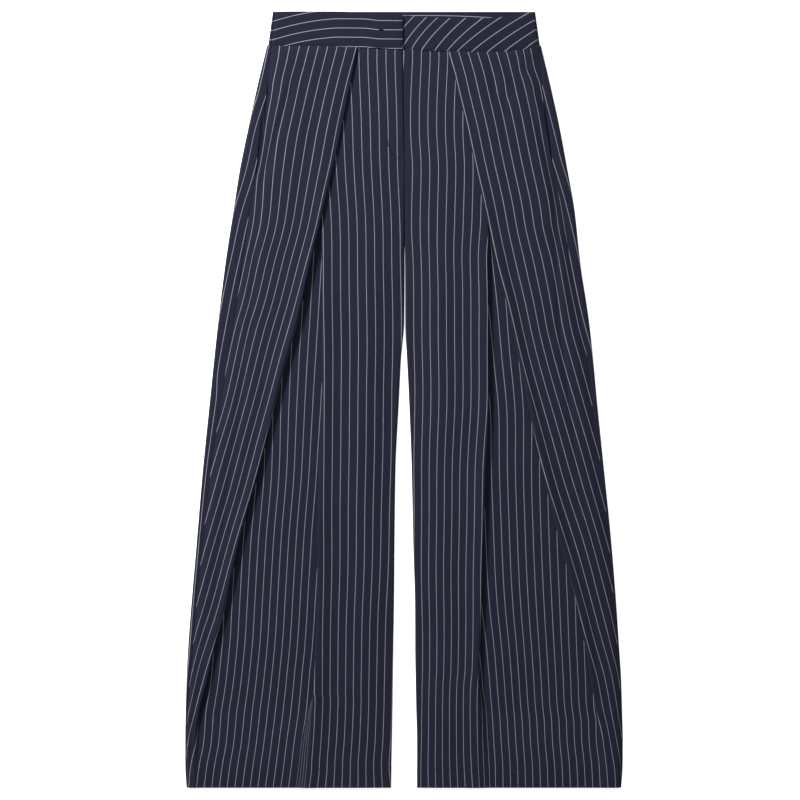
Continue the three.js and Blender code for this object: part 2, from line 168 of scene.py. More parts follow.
# %% Stripe tables
STRIPE_COLUMNS = ["drop", "first", "pitch", "crease_in", "fold_out", "fold", "bend", "seam"]
RIGHT_STRIPES = [
    [45.6, 11.6, 12.1, 20.6, 15.8, 30.82, 36.95, 39.8],
    [59, 11.8, 12.06, 20.5, 15.8, 30.78, 36.95, 39.85],
    [158, 9.1, 11.93, 18.8, 15.8, 30.46, 37.13, 39.25],
    [212, 7.8, 11.7, 17.8, 16, 30.55, 37.9, 39.3],
    [279, 6.7, 11.43, 16.8, 16.6, 30.52, 38.3, 39.75],
    [335, 5.9, 11.36, 16, 17.3, 30.3, 37.5, 39.4],
    [386, 5.4, 11.34, 15.7, 18, 30.1, 36.75, 38.95],
    [426, 5.4, 11.3, 15.44, 18.66, 30, 35.85, 38.45],
    [520, 6.2, 11.08, 14.94, 20.65, 29.95, 34.5, 37.7],
    [614, 8.8, 11, 14.65, 22.6, 29.6, 33.5, 36.1],
    [707.5, 11.1, 10.7, 14.2, 24.4, 29.37, 32.1, 34.6],
    [801, 14.7, 10.4, 13.7, 25.9, 28.9, 31, 32.9],
    [848, 15.8, 10.3, 13.65, 26.95, 28.8, 30.3, 32],
    [895, 17.6, 10.18, 13.35, 27.45, 28.5, 29.7, 31.2],
    [935, 18.8, 10.16, 13.25, 27.75, 28.4, 29.2, 30.4],
    [975.5, 19.8, 10.16, 12.93, 27.6, 28.1, 28.7, 29.4],
    [1009, 21.9, 10.12, 12.78, 27, 27.55, 28.1, 28.8],
    [1039, 20.3, 10.6, 12.63, 26.55, 27.2, 27.7, 28.3],
]
LEFT_STRIPES = [
    [59, 10.9, 11.79, 20, 14.8, 29.9, 36.9, 39.9],
    [158, 8.2, 11.73, 18, 15.4, 29.86, 37.2, 38.8],
    [212, 10.6, 11.62, 17, 15.7, 29.8, 37.4, 38.9],
    [279, 11, 11.52, 16.1, 16, 29.76, 37.3, 39.1],
    [335, 13, 10.83, 15.5, 16.5, 29.8, 36.4, 38.75],
    [386, 14.3, 10.75, 15.1, 17, 29.7, 35.9, 38.5],
    [426, 14.8, 10.72, 14.7, 17.5, 29.64, 35.6, 38.35],
    [520, 15.5, 10.52, 14, 18.55, 29.25, 34.2, 37.1],
    [614, 15.3, 10.05, 13.3, 20.25, 28.73, 32.9, 35.8],
    [707.5, 15.1, 9.82, 12.7, 22.25, 28.22, 31.6, 34.3],
    [801, 15.8, 9.58, 11.9, 24.3, 27.88, 30.8, 32.6],
    [848, 16.4, 9.38, 11.2, 25.1, 27.57, 30.3, 32],
    [895, 16.9, 9.2, 10.6, 25.75, 27.1, 29.7, 31.2],
    [935, 16.6, 9.05, 10.06, 26.2, 27, 29.3, 30.6],
    [975.5, 15.9, 9.05, 9.58, 26.3, 26.9, 28.9, 29.9],
    [1009, 15, 9.2, 9.25, 26.1, 26.75, 28.4, 29.2],
    [1039, 15.3, 9.4, 9.22, 25.95, 26.65, 28.1, 28.8],
]
STRIPES = {
    "right": table(STRIPE_COLUMNS, RIGHT_STRIPES),
    "left": table(STRIPE_COLUMNS, LEFT_STRIPES),
}
print("stripe pitch at the waist and the hem, mm:", RIGHT_STRIPES[0][2], RIGHT_STRIPES[-1][2])

# %% [markdown]
# ## Reading a table smoothly
# A straight line between rows would show as a kink in every fold. This reader draws a curve
# through the rows that never overshoots them, the way a tailor's curve joins chalk marks.


# %% Table reader
def read(rows, key, column, at):
    keys, values = rows[key], rows[column]
    at = np.clip(np.asarray(at, float), keys[0], keys[-1])
    slope = np.diff(values) / np.diff(keys)
    tangent = np.concatenate([slope[:1], np.zeros(len(slope) - 1), slope[-1:]])
    for k in range(1, len(slope)):
        product = slope[k - 1] * slope[k]
        if product > 0:
            tangent[k] = 2 * product / (slope[k - 1] + slope[k])
    i = np.clip(np.searchsorted(keys, at, side="left") - 1, 0, len(slope) - 1)
    width = keys[i + 1] - keys[i]
    t = (at - keys[i]) / width
    t2, t3 = t * t, t * t * t
    result = (2 * t3 - 3 * t2 + 1) * values[i] + (t3 - 2 * t2 + t) * width * tangent[i]
    return result + (3 * t2 - 2 * t3) * values[i + 1] + (t3 - t2) * width * tangent[i + 1]


def smooth_step(value):
    t = np.clip(value, 0, 1)
    return t * t * (3 - 2 * t)


def mix(a, b, share):
    return a + (b - a) * share


# %% [markdown]
# ## One section across a front
# From the side seam the cloth runs in to the flap's edge, turns under and runs back out of
# sight, turns again and runs in as the lowest layer, then makes the same double turn below the
# inner panel. Each turn is an arc, so the fold keeps a soft round edge instead of a knife line.

# %% Section across a front
FLAP_STEPS = 46
BEND_STEPS = 9
HIDDEN_STEPS = 8
UNDER_STEPS = 26
INNER_STEPS = 38


def fold_points(x, levels, back):
    before, between, after = levels
    height = abs(after - before)
    way = math.copysign(1, after - before)
    widest = (back * back + height * height) / (2 * height)
    radii = max(height / 2, OPEN_FOLD_SHARE * widest) if back < 0 else height / 2
    first = radii * abs(between - before) / height
    second = radii - first
    run = math.sqrt(max(0, back * back + (height - radii) ** 2 - radii * radii))
    turn = math.pi + math.atan2(radii, run) - math.atan2(height - radii, back)
    angle = turn % (2 * math.pi)
    at = angle * np.linspace(0, 1, BEND_STEPS + 1)
    one = np.stack([x - first * np.sin(at), before + way * first * (1 - np.cos(at))], 1)
    next_point = one[-1] + run * np.array([-math.cos(angle), way * math.sin(angle)])
    last_x = next_point[0] - second * math.sin(angle)
    at = at[::-1]
    two = np.stack([last_x + second * np.sin(at), after - way * second * (1 - np.cos(at))], 1)
    shares = np.linspace(0, 1, HIDDEN_STEPS + 1)[1:-1, None]
    return np.concatenate([one, mix(one[-1], two[0], shares), two]), last_x


def front_section(side, drop, slit_gape, fly_lap):
    w = {c: float(read(FOLDS[side], "drop", c, drop)) for c in FOLD_COLUMNS[1:]}
    z = {c: float(read(LEVELS, "drop", c, drop)) for c in LEVEL_COLUMNS[1:]}
    half = FORM_CLOTH / 2
    slit = min(1, max(0, (drop - SLIT_TOP) / (SLIT_END - SLIT_TOP)))
    start = w["seam"] - SEAM_GAP / 2 - slit_gape * max(0, math.sin(math.pi * slit)) ** 0.8
    roll_x = w["fold"] + half + (z["roll"] - z["mid"]) / 2
    hide_x = w["hide"] - (z["mid"] - z["under"]) / 2
    flap_fold, flap_end = fold_points(roll_x, (z["roll"], z["mid"], z["under"]), hide_x - roll_x)
    tuck_level = mix(z["under"], z["crease"], 0.5)
    tuck_x = w["tuck"] + (tuck_level - z["under"]) / 2
    crease_x = w["crease"] - half - (z["crease"] - tuck_level) / 2
    tuck_levels = (z["under"], tuck_level, z["crease"])
    tuck_fold, tuck_end = fold_points(tuck_x, tuck_levels, crease_x - tuck_x)
    edge = z["edge"] + fly_lap * min(1, max(0, (FLY_END - drop) / FADE))
    fall = max(edge - z["end"] - EDGE_TAIL, 0.1)
    edge_angle = math.acos(1 - min(1, fall / EDGE_RADIUS))
    tail = max(0, fall - EDGE_RADIUS) + EDGE_TAIL
    end_x = w["inner"] + half - CENTRE_LAP * smooth_step((CENTRE_END - drop) / FADE)
    edge_x = end_x + EDGE_RADIUS * math.sin(edge_angle) + tail * math.cos(edge_angle)
    arc_end = edge - EDGE_RADIUS * (1 - math.cos(edge_angle))
    t = np.linspace(0, 1, FLAP_STEPS + 1)[:-1]
    roll_width = min(ROLL_WIDTH / (start - roll_x), 0.45)
    flap = mix(z["seam"], z["flap"], smooth_step(t / 0.2))
    flap = flap + (z["roll"] - z["flap"]) * smooth_step((t - 1 + roll_width) / roll_width)
    flap = np.stack([mix(start, roll_x, t), flap], 1)
    t = np.linspace(0, 1, UNDER_STEPS + 1)[1:-1]
    under = np.stack([mix(flap_end, tuck_x, t), np.full_like(t, z["under"])], 1)
    t = np.linspace(0, 1, INNER_STEPS + 1)[1:-1]
    inner = mix(z["crease"], z["body"], smooth_step(t * (tuck_end - edge_x) / CREASE_WIDTH))
    inner = mix(inner, edge, smooth_step((t - 0.55) / 0.45))
    inner = np.stack([mix(tuck_end, edge_x, t), inner], 1)
    at = edge_angle * np.linspace(0, 1, 6)
    edge_arc = np.stack([edge_x - EDGE_RADIUS * np.sin(at),
                         edge - EDGE_RADIUS * (1 - np.cos(at))], 1)
    last = np.array([[end_x, arc_end - tail * math.sin(edge_angle)]])
    parts = [flap, flap_fold, under, tuck_fold, inner, edge_arc, last]
    points = np.concatenate(parts)
    ends = np.cumsum([len(p) for p in parts])
    return points, ends, w, {"flap_end": flap_end, "tuck_x": tuck_x}


print("points in a section:", len(front_section("right", 520, 0, 0)[0]))


# %% [markdown]
# ## Numbering the cloth along a section
# Each place with a known stripe number is found as a length along the section, and the number
# is spread evenly between. Where a fold's two edges lie over each other, the numbers in between
# cannot be seen, and they fade into an even spread, so the stripes stay smooth going down.


# %% Stripe numbers along a section
# Where a dimple pulls the stripes sideways: width, drop, reach, share of a stripe.
STRIPE_JOGS = {
    "right": [(150, 92, 14, -0.1)],
    "left": [(163, 78, 15, 0.2), (137, 112, 12, 0.12), (175, 96, 10, -0.1)],
}


def stripe_numbers(side, drop, points, ends, w, marks):
    u = {c: float(read(STRIPES[side], "drop", c, drop)) for c in STRIPE_COLUMNS[1:]}
    steps = np.hypot(*np.diff(points, axis=0).T)
    along = np.concatenate([[0], np.cumsum(steps)])
    flap_at = ends[0]
    fold_edge = along[flap_at + BEND_STEPS // 2]
    under_start, under_end = along[ends[1] - 1], along[ends[2]]
    crease_edge = along[ends[3] - 1 - BEND_STEPS // 2]
    bend = np.interp(-w["bend"], -points[:flap_at, 0], along[:flap_at])
    fold_out = under_start + max(0, marks["flap_end"] - w["fold"])
    crease_in = under_end - max(0, w["crease"] - marks["tuck_x"])
    crease_number = (w["crease"] - u["first"]) / u["pitch"]
    last_number = (w["inner"] - u["first"]) / u["pitch"]
    shown = float(smooth_step((w["fold"] - w["crease"]) / 20))
    passed = u["crease_in"] + max(0, marks["tuck_x"] - w["crease"]) / u["pitch"]
    even = np.interp([fold_out, crease_in], [fold_edge, crease_edge], [u["fold"], crease_number])
    fold_out, crease_in = sorted([fold_out, max(crease_in, fold_out + 0.5)])
    keys = [0, bend, fold_edge, fold_out, crease_in, crease_edge, along[-1]]
    numbers = [u["seam"], u["bend"], u["fold"], mix(even[0], u["fold_out"], shown),
               mix(even[1], passed, shown), crease_number, last_number]
    if bend > fold_edge - 4:
        keys.pop(1)
        numbers.pop(1)
    sway = 0.035 * np.sin(drop * 0.041 + along * 0.006) + 0.03 * np.sin(drop * 0.018 + 2)
    for width, jog_drop, reach, amount in STRIPE_JOGS[side]:
        apart = ((points[:, 0] - width) ** 2 + (drop - jog_drop) ** 2) / reach ** 2
        sway = sway + amount * np.exp(-apart) * (np.arange(len(points)) < flap_at)
    return np.interp(along, keys, numbers) + sway, along


# %% [markdown]
# ## Creases listed one by one
# Cloth that has been folded and laid out is never quite flat. Each crease is a line of a few
# marks with a height and a reach: a low one is a trough, a high one a ridge. They are
# uneven, and none repeats on the other leg.

# %% Creases
PX = 1.34
CENTRE_PX = 404
TOP_PX = 12
FRONT_CREASES = [
    ([(386, 122), (387, 143), (391.5, 153), (398, 158.2), (406, 159.4)], -0.6, 1.6),
    ([(257, 160), (250.5, 214), (243.5, 254), (237.5, 294), (228, 350)], -1.3, 2.6),
    ([(300, 60), (281, 120), (262, 185), (254, 262), (250, 330)], -1.3, 5),
    ([(293, 62), (272, 125), (257, 190)], 0.8, 7),
    ([(246, 345), (240, 420), (226, 505), (216, 590)], -1.1, 6),
    ([(262, 300), (252, 400), (236, 490)], 0.8, 10),
    ([(340, 70), (330, 130), (316, 200)], 0.8, 11),
    ([(322, 80), (306, 160), (292, 250)], -0.8, 9),
    ([(294, 70), (306, 92), (316, 112)], -0.8, 7),
    ([(366, 180), (368, 330), (362, 470)], 0.6, 15),
    ([(346, 420), (350, 560), (344, 690)], -0.6, 12),
    ([(300, 560), (282, 650), (262, 740)], 0.7, 13),
    ([(232, 600), (218, 680), (208, 750)], -0.6, 8),
    ([(515, 62), (534, 120), (554, 180), (555, 250)], -1.2, 4.5),
    ([(520, 60), (541, 122), (562, 185)], 0.8, 6),
    ([(554, 170), (555.5, 250), (559, 320), (568, 395), (578, 475)], -1.8, 4),
    ([(488, 62), (494, 80), (496, 100)], -1.5, 6),
    ([(502, 58), (508, 76), (520, 92), (532, 98)], -1.4, 6),
    ([(512, 84), (504, 104), (508, 124)], -1.3, 7),
    ([(524, 62), (530, 76)], -1.1, 5),
    ([(476, 70), (486, 110), (500, 150)], 0.9, 9),
    ([(586, 448), (594, 466), (602, 488)], -1.3, 6),
    ([(574, 452), (584, 480), (596, 520)], 0.9, 9),
    ([(520, 240), (534, 330), (552, 420)], 0.8, 12),
    ([(440, 180), (442, 330), (446, 470)], 0.5, 15),
    ([(462, 430), (458, 560), (464, 690)], -0.6, 12),
    ([(520, 560), (540, 660), (556, 750)], 0.7, 13),
    ([(590, 600), (598, 680), (604, 750)], -0.6, 8),
    ([(404, 232), (404, 262), (404, 300)], -0.8, 4),
]
BACK_CREASES = [
    ([(300, 80), (280, 220), (262, 400)], 0.8, 12),
    ([(330, 120), (322, 300), (304, 520)], -0.6, 14),
    ([(360, 260), (352, 420), (350, 640)], 0.6, 12),
    ([(262, 470), (250, 600), (240, 720)], 0.6, 14),
    ([(500, 80), (520, 240), (544, 420)], 0.8, 13),
    ([(470, 140), (484, 330), (500, 540)], -0.6, 12),
    ([(446, 280), (452, 440), (456, 650)], 0.6, 13),
    ([(548, 500), (560, 620), (574, 730)], 0.6, 12),
]


def relief(x, drop, creases):
    height = np.zeros_like(x)
    for marks, depth, reach in creases:
        marks = np.array([((px - CENTRE_PX) * PX, (py - TOP_PX) * PX) for px, py in marks])
        nearest = np.full_like(x, 1e9)
        fade = np.zeros_like(x)
        total = np.hypot(*np.diff(marks, axis=0).T).sum()
        passed = 0
        for a, b in zip(marks[:-1], marks[1:]):
            span = b - a
            length = math.hypot(*span)
            t = np.clip(((x - a[0]) * span[0] + (drop - a[1]) * span[1]) / length ** 2, 0, 1)
            away = np.hypot(x - a[0] - t * span[0], drop - a[1] - t * span[1])
            share = (passed + t * length) / total
            closer = away < nearest
            nearest = np.where(closer, away, nearest)
            fade = np.where(closer, np.sin(np.pi * np.clip(share, 0.02, 0.98)) ** 0.6, fade)
            passed += length
        height += depth * fade * np.exp(-((nearest / reach) ** 2))
    slow = np.sin(x * 0.031 + drop * 0.011 + 0.7) * np.sin(drop * 0.017 - x * 0.009)
    return height + 0.22 * slow


print("creases:", len(FRONT_CREASES), "in front,", len(BACK_CREASES), "behind")


# %% [markdown]
# ## From a grid to cloth
# A flat grid is the start of every panel. Its corners are moved to the sections, each point
# carries its stripe number as a UV, and Solidify gives the cloth its thickness. The last rows
# are thicker, because the hem is turned up inside.


# %% Cloth maker
def make_cloth(name, places, uv, thickness, extra=None):
    rows, columns = places.shape[:2]
    bpy.ops.object.select_all(action="DESELECT")
    bpy.ops.mesh.primitive_grid_add(x_subdivisions=columns - 1, y_subdivisions=rows - 1, size=1)
    piece = bpy.context.object
    piece.name = name
    piece.data.name = name
    mesh = piece.data
    flat = np.zeros(len(mesh.vertices) * 3)
    mesh.vertices.foreach_get("co", flat)
    flat = flat.reshape(-1, 3)
    column = np.rint((flat[:, 0] + 0.5) * (columns - 1)).astype(int)
    row = np.rint((0.5 - flat[:, 1]) * (rows - 1)).astype(int)
    mesh.vertices.foreach_set("co", (places[row, column] * MM).ravel())
    corners = np.zeros(len(mesh.loops), int)
    mesh.loops.foreach_get("vertex_index", corners)
    layer = mesh.uv_layers[0] if mesh.uv_layers else mesh.uv_layers.new(name="UVMap")
    layer.name = "cloth"
    layer.data.foreach_set("uv", (uv[row, column][corners] * MM).ravel())
    thicken = piece.modifiers.new("thickness", "SOLIDIFY")
    thicken.offset = 0
    most = thickness + (0 if extra is None else float(extra.max()))
    thicken.thickness = most * MM
    if extra is not None:
        group = piece.vertex_groups.new(name="hem")
        share = (thickness + extra[row, column]) / most
        for value in np.unique(share):
            group.add(np.nonzero(share == value)[0].tolist(), float(value), "REPLACE")
        thicken.vertex_group = "hem"
    bpy.ops.object.modifier_apply(modifier="thickness")
    bpy.ops.object.mode_set(mode="EDIT")
    bpy.ops.mesh.select_all(action="SELECT")
    bpy.ops.mesh.normals_make_consistent(inside=False)
    bpy.ops.object.mode_set(mode="OBJECT")
    bpy.ops.object.shade_smooth_by_angle(angle=math.radians(50))
    piece.vertex_groups.clear()
    print(name, "triangles:", 2 * len(mesh.polygons))
    return piece


def edge_dip(distance, depth=0.45, reach=2.2):
    return -depth * np.exp(-((distance / reach) ** 2))


# %% [markdown]
# ## The waistband
# The band is cut in three: two fronts, of which the wearer's right one laps over the left, and
# one back piece that comes round the sides. It is two layers with a stiffener between, so it is
# thicker than the legs and stays smooth. Its stripes run along it on one side and slant on the
# other, because the curved band was cut across the stripes.

# %% Waistband tables
BAND_COLUMNS = ["low_x", "high_x", "low", "high", "level"]
BANDS = {
    "right": table(BAND_COLUMNS, [
        [2.1, 2.1, 50.6, 4.4, OVERLAP_LEVEL],
        [20, 20, 49.8, 3.2, OVERLAP_LEVEL],
        [34, 34, 49, 2.4, OVERLAP_LEVEL],
        [60, 60, 47.8, 1.2, BAND_LEVEL],
        [96.5, 96.5, 46.7, 0.2, BAND_LEVEL],
        [139, 138, 46.3, 0.1, BAND_LEVEL],
        [165, 162, 46.3, 0.3, BAND_LEVEL],
        [177.5, 173, 46.3, 0.6, BAND_LEVEL],
    ]),
    "left": table(BAND_COLUMNS, [
        [-30.8, -30.8, 48, 5.4, UNDERLAP_LEVEL],
        [-12, -12, 48.6, 5.4, UNDERLAP_LEVEL],
        [4, 4, 50, 5.5, UNDERLAP_LEVEL],
        [29.5, 29.5, 52.4, 7.6, BAND_LEVEL],
        [63, 63, 53.6, 9.1, BAND_LEVEL],
        [103, 103, 54.9, 9.1, BAND_LEVEL],
        [135, 134, 53.7, 7.4, BAND_LEVEL],
        [161.5, 158.5, 50.4, 3.4, BAND_LEVEL],
        [179, 173.5, 47.6, 0.6, BAND_LEVEL],
    ]),
}
LENGTHWISE_STRIPE = table(["width", "drop"], [
    [2.7, 25], [30.8, 24.9], [54.9, 22.6], [87.1, 22.3], [111.2, 24.2], [142, 29.3], [180.4, 39.4],
])
SLANTED_STRIPES = table(["number", "middle", "slant"], [
    [-3, -46, -0.73], [0, -8, -0.73], [1, 9.5, -0.77], [2, 23.6, -0.81], [3, 39.5, -0.89],
    [4, 59, -0.95], [5, 78.7, -1.09], [6, 97.2, -1.29], [7, 120.6, -1.44], [8, 143.4, -1.5],
    [9, 166.2, -1.54], [10, 189, -1.55], [12, 232, -1.55],
])
SLANT_DROP = 30.8
SLANT_CURVE = 0.006
SIGNS = {"right": -1, "left": 1}


def waist_seam(side, width):
    return read(BANDS[side], "low_x", "low", width) + SEAM_GAP


def band_numbers(side, width, drop):
    if side == "right":
        return (drop - read(LENGTHWISE_STRIPE, "width", "drop", width)) / BAND_PITCH
    middle = width.copy()
    for _ in range(6):
        slant = np.interp(middle, SLANTED_STRIPES["middle"], SLANTED_STRIPES["slant"])
        middle = width - slant * (drop - SLANT_DROP) - SLANT_CURVE * (drop - SLANT_DROP) ** 2
    return np.interp(middle, SLANTED_STRIPES["middle"], SLANTED_STRIPES["number"])


# %% Front waistbands
def round_edges(rows, columns, widths, drops, depth=0.7, reach=2.4):
    dip = np.zeros((rows, columns))
    for distance in (drops - drops[:1], drops[-1:] - drops, widths - widths[:, :1],
                     widths[:, -1:] - widths):
        dip += edge_dip(np.abs(distance), depth, reach)
    return np.maximum(dip, -depth)


def front_band(side):
    rows, columns = 27, 121
    share = np.linspace(0, 1, rows)
    share = (0.5 - 0.5 * np.cos(np.pi * share))[:, None] * 0.6 + share[:, None] * 0.4
    band = BANDS[side]
    low_x = np.linspace(band["low_x"][0], band["low_x"][-1], columns)
    get = {c: read(band, "low_x", c, low_x) for c in BAND_COLUMNS[1:]}
    widths = mix(get["high_x"], low_x, share)
    drops = mix(get["high"], get["low"], share)
    levels = get["level"] + 0 * drops + round_edges(rows, columns, widths, drops)
    numbers = band_numbers(side, widths, drops)
    x = SIGNS[side] * widths
    places = np.stack([x, LENGTH / 2 - drops, levels], 2)
    along = drops if side == "left" else widths
    uv = np.stack([numbers * STRIPE_PITCH, along], 2)
    return make_cloth(f"band_front_{side}", places, uv, BAND_CLOTH)


band_pieces = {side: front_band(side) for side in SIGNS}

# %% Back waistband
BACK_BAND = {"low": 45.4, "high": 0, "side_low": 182, "side_high": 175.6}
CURL_STEPS = 16


def curl_round(centre, base, radius, end):
    cut = math.acos(min(1, (end - centre) / radius)) if end > centre else math.pi / 2
    at = mix(-math.pi / 2, cut - (0.15 if end > centre else 0), np.linspace(0, 1, CURL_STEPS))
    curl = np.stack([centre + radius * np.cos(at), base + radius + radius * np.sin(at)], 1)
    last = np.array([end, base + radius + radius * math.sin(cut)])
    return np.concatenate([curl, mix(curl[-1], last, np.linspace(0, 1, 5)[1:, None])])


def back_band():
    rows = 23
    share = np.linspace(0, 1, rows)
    base = BAND_FORM_CLOTH / 2
    radius = (BAND_LEVEL - base) / 2
    grid = []
    for s in share:
        outline = []
        for side, sign in SIGNS.items():
            end = mix(BANDS[side]["high_x"][-1], BANDS[side]["low_x"][-1], s) + 2 * SEAM_GAP
            centre = mix(BACK_BAND["side_high"], BACK_BAND["side_low"], s) - base - radius
            half = [(v, base) for v in np.linspace(0, centre, 60)[1:-1]]
            half += [tuple(p) for p in curl_round(centre, base, radius, end)]
            outline.append([(sign * v, z) for v, z in half])
        grid.append(outline[0][::-1] + [(0, base)] + outline[1])
    across = np.array(grid)
    drops = mix(BACK_BAND["high"], BACK_BAND["low"], share)[:, None] + 0 * across[:, :, 0]
    places = np.stack([across[:, :, 0], LENGTH / 2 - drops, across[:, :, 1]], 2)
    stripe_drop = 5 + 0.00039 * np.maximum(0, np.abs(across[:, :, 0]) - 30) ** 2
    uv = np.stack([(drops - stripe_drop) / BAND_PITCH * STRIPE_PITCH, across[:, :, 0]], 2)
    return make_cloth("band_back", places, uv, BAND_CLOTH)


band_pieces["back"] = back_band()


# %% [markdown]
# ## The fronts
# The sections are stacked down the leg. The top row follows the waist seam, and the layers
# hidden in the folds end a little below it.

# %% Fronts
FLAP_LIFT = 0.9
SLIT_GAPE = {"right": 5.4, "left": 2.2}
FLY_LAP = {"right": 0.9, "left": 0}
LEG_DROPS = np.concatenate([np.linspace(WAIST_DROP, FIRST_ROW, 9)[:-1],
                            np.linspace(FIRST_ROW, LENGTH, 150)])


def place_row(side, drop, widths):
    if drop >= FIRST_ROW:
        return np.full_like(widths, drop)
    share = (drop - WAIST_DROP) / (FIRST_ROW - WAIST_DROP)
    return mix(waist_seam(side, widths), FIRST_ROW, share)


def hem_rows(drops):
    return HEM_EXTRA * smooth_step((drops - (LENGTH - HEM_DEPTH)) / 1.5)


def front(side):
    places, uv = [], []
    for drop in LEG_DROPS:
        points, ends, w, marks = front_section(side, drop, SLIT_GAPE[side], FLY_LAP[side])
        numbers, along = stripe_numbers(side, drop, points, ends, w, marks)
        widths, levels = points.T
        drops = place_row(side, drop, widths)
        index = np.arange(len(points))
        hidden = (index > ends[0] + BEND_STEPS - 2) & (index < ends[3] - BEND_STEPS)
        share = max(0, 1 - (drop - WAIST_DROP) / (FIRST_ROW - WAIST_DROP))
        drops = drops + hidden * HIDDEN_DROP * share
        x = SIGNS[side] * widths
        top = ((index <= ends[0] + 2) | (index >= ends[3] - BEND_STEPS + 2)).astype(float)
        shape = relief(x, drops, FRONT_CREASES)
        from_edge = np.minimum(along, np.abs(along - along[ends[0]])) / 14
        lift = FLAP_LIFT * smooth_step(from_edge) * (index < ends[0])
        shape = np.maximum(shape + lift, -0.5) * smooth_step(drops / 14 - 3.1)
        levels = levels + shape * np.maximum(top, 0.35)
        levels = levels + top * edge_dip(drops - waist_seam(side, widths), 0.8, 3)
        levels = levels + edge_dip(along, 0.5, 2.5)
        places.append(np.stack([x, LENGTH / 2 - drops, levels], 1))
        uv.append(np.stack([numbers * STRIPE_PITCH, drops], 1))
    places, uv = np.array(places), np.array(uv)
    extra = hem_rows(LENGTH / 2 - places[:, :, 1])
    return make_cloth(f"front_{side}", places, uv, CLOTH, extra)


front_pieces = {side: front(side) for side in SIGNS}

# %% [markdown]
# ## The backs
# The backs lie flat on the surface and curl round the sides to meet the fronts. Their stripes
# follow the side near the outline and the leg's middle further in.

# %% Backs
BACK_STEPS = 64
BACK_LAP = 1.75 * CENTRE_LAP

# The stripe number where the back panel, wrapped to the front, meets each side seam.
SIDE_STRIPES = table(["drop", "right", "left"], [
    [45.6, 23.28, 23.3], [100, 23.85, 24], [158, 24.57, 24.6], [198, 25, 25], [224, 25.3, 25.35],
    [277, 26, 25.7], [322, 26.3, 26], [380, 26.65, 26.2], [480, 26.9, 26.7], [520, 26.6, 26.6],
    [613, 26.5, 26.4], [1039, 26.2, 26.2],
])


def back(side):
    places, uv = [], []
    base = FORM_CLOTH / 2
    for drop in LEG_DROPS:
        w = {c: float(read(FOLDS[side], "drop", c, drop)) for c in ("side", "seam", "inner")}
        radius = (float(read(LEVELS, "drop", "seam", drop)) - base) / 2
        centre = w["side"] - base - radius
        end = w["seam"] + SEAM_GAP / 2
        t = np.linspace(0, 1, BACK_STEPS + 1)[:-1]
        inner = w["inner"] - BACK_LAP * smooth_step((CENTRE_END - drop) / FADE)
        straight = np.stack([mix(inner, centre, t), np.full_like(t, base)], 1)
        points = np.concatenate([straight, curl_round(centre, base, radius, end)])
        widths, levels = points.T
        along = np.concatenate([[0], np.cumsum(np.hypot(*np.diff(points, axis=0).T))])
        share = smooth_step(along / along[-1])
        from_side = float(read(SIDE_STRIPES, "drop", side, drop)) - (along[-1] - along) / STRIPE_PITCH
        numbers = mix((w["inner"] + along) / STRIPE_PITCH, from_side, share)
        top = BACK_BAND["low"] + SEAM_GAP
        share = min(1, (drop - WAIST_DROP) / (FIRST_ROW - WAIST_DROP))
        drops = np.full_like(widths, drop if share == 1 else mix(top, FIRST_ROW, share))
        x = SIGNS[side] * widths
        flat = np.clip((centre - widths) / 12, 0, 1)
        levels = levels + 0.45 * np.abs(relief(x, drops, BACK_CREASES)) * flat
        levels = levels + edge_dip(along[-1] - along, 0.4, 2.5)
        places.append(np.stack([x, LENGTH / 2 - drops, levels], 1))
        uv.append(np.stack([numbers * STRIPE_PITCH, drops], 1))
    return make_cloth(f"back_{side}", np.array(places), np.array(uv), CLOTH)


back_pieces = {side: back(side) for side in SIGNS}


# %% [markdown]
# ## The pocket facings
# The slanted side pockets gape a little, the wearer's right one more. A strip of the same cloth
# lies behind each opening, so the gap never shows the surface below. The strip is painted much
# darker than the cloth, with dim stripes: painted shade for the shadow inside the gap.

# %% Pocket facings
FACING = {"top": 84, "end": 232, "in": 9, "out": 6, "depth": 1.5}


def facing(side):
    drops = np.linspace(FACING["top"], FACING["end"], 40)[:, None]
    offset = np.linspace(-FACING["in"], FACING["out"], 9)[None, :]
    seam = read(FOLDS[side], "drop", "seam", drops)
    level = read(LEVELS, "drop", "seam", drops) - FACING["depth"] + 0 * offset
    widths = seam + offset
    drops = drops + 0 * offset
    places = np.stack([SIGNS[side] * widths, LENGTH / 2 - drops, level], 2)
    uv = np.stack([widths - 4, drops], 2)
    return make_cloth(f"facing_{side}", places, uv, CLOTH)


facing_pieces = {side: facing(side) for side in SIGNS}


# %% [markdown]
# ## Stitches
# Few stitches show on tailored trousers: the curved end of the fly stitching, a small tack on
# the band where the hook sits, and pricks of the blind hem. Each is a short bead of thread.

# %% Stitches
def surface_height(piece, x, y):
    hit, place, _, _ = piece.ray_cast((x * MM, y * MM, 0.1), (0, 0, -1))
    return place.z / MM if hit else 8


